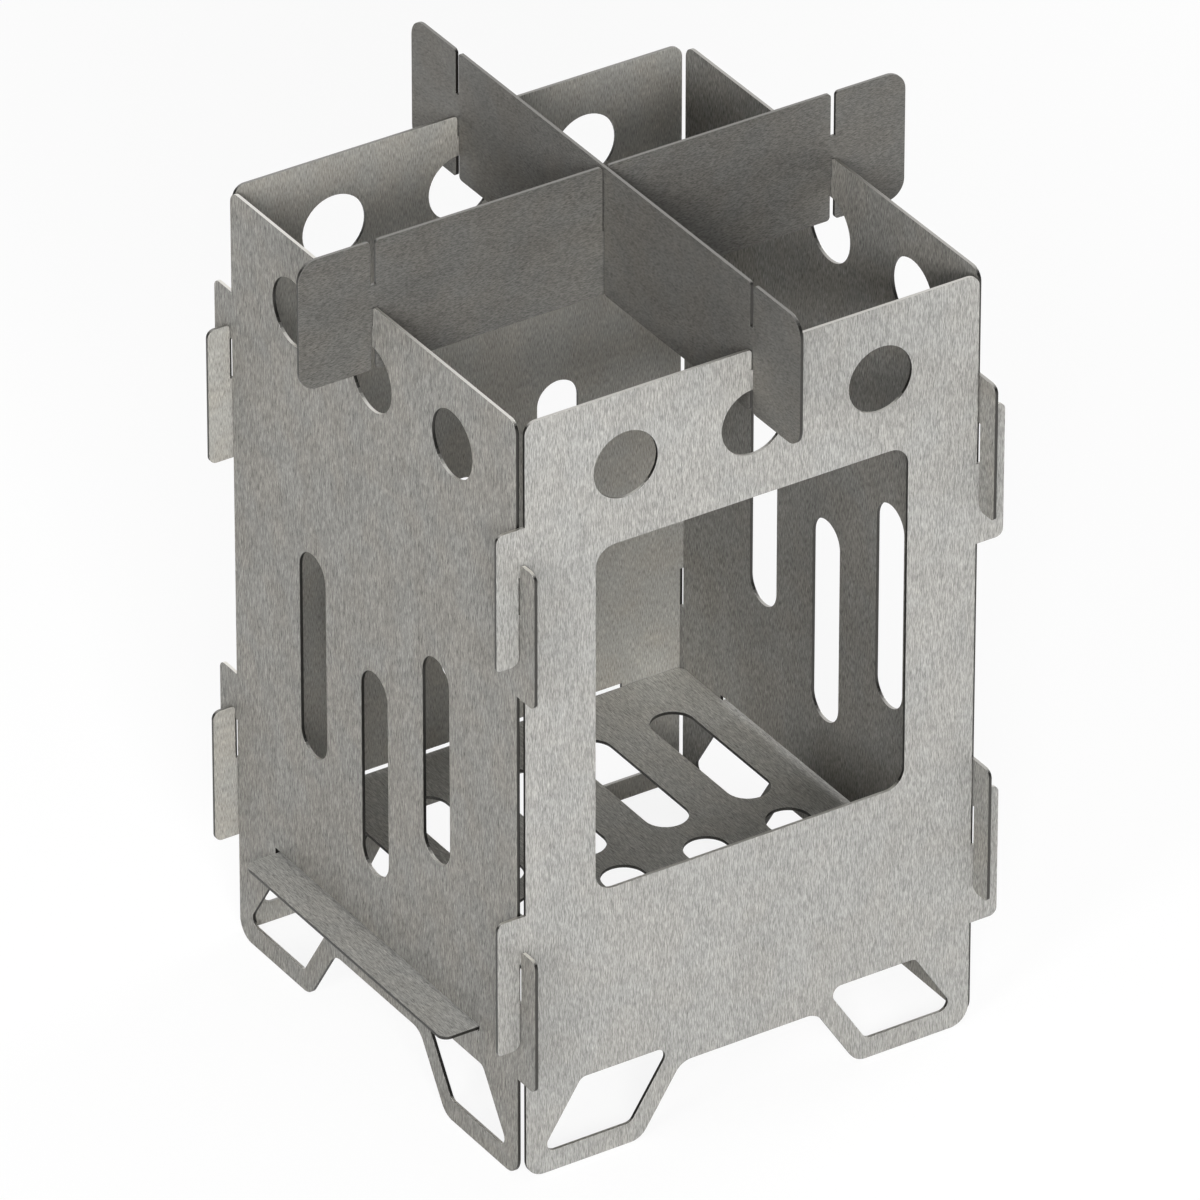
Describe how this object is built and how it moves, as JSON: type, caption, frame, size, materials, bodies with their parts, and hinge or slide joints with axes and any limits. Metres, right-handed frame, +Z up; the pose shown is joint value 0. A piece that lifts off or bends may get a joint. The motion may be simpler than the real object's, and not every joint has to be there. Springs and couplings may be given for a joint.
{
  "type": "twig stove",
  "caption": "Flat-pack wood-burning camp stove: slotted sheet-steel panels hooked into a square chimney, with a fuel door, a grate tray and crossed pot supports.",
  "frame": {"origin": "centre of the square that the feet stand on, at ground level", "axes": "+Z up the chimney, +X to the right along the front panel as seen from the fuel door, -Y out of the fuel door"},
  "size_m": [0.132, 0.132, 0.1771],
  "materials": {
    "panel_steel": "fine upright brushed grain on both faces, bare cut edges",
    "tray_steel": "fine brushed grain, slightly duller than the panels",
    "support_steel": "fine upright brushed grain, bare cut edges"
  },
  "bodies": {
    "stove": {"front_panel": "panel_steel", "left_panel": "panel_steel", "back_panel": "panel_steel", "right_panel": "panel_steel", "grate_tray": "tray_steel"},
    "lower_support": {"pot_support_lower": "support_steel"},
    "upper_support": {"pot_support_upper": "support_steel"}
  },
  "joints": [
    {"name": "lower_support_lift", "type": "slide", "parent": "stove", "child": "lower_support", "axis": [0, 0, 1], "range_m": [0, 0.02]},
    {"name": "upper_support_lift", "type": "slide", "parent": "lower_support", "child": "upper_support", "axis": [0, 0, 1], "range_m": [0, 0.02]}
  ]
}
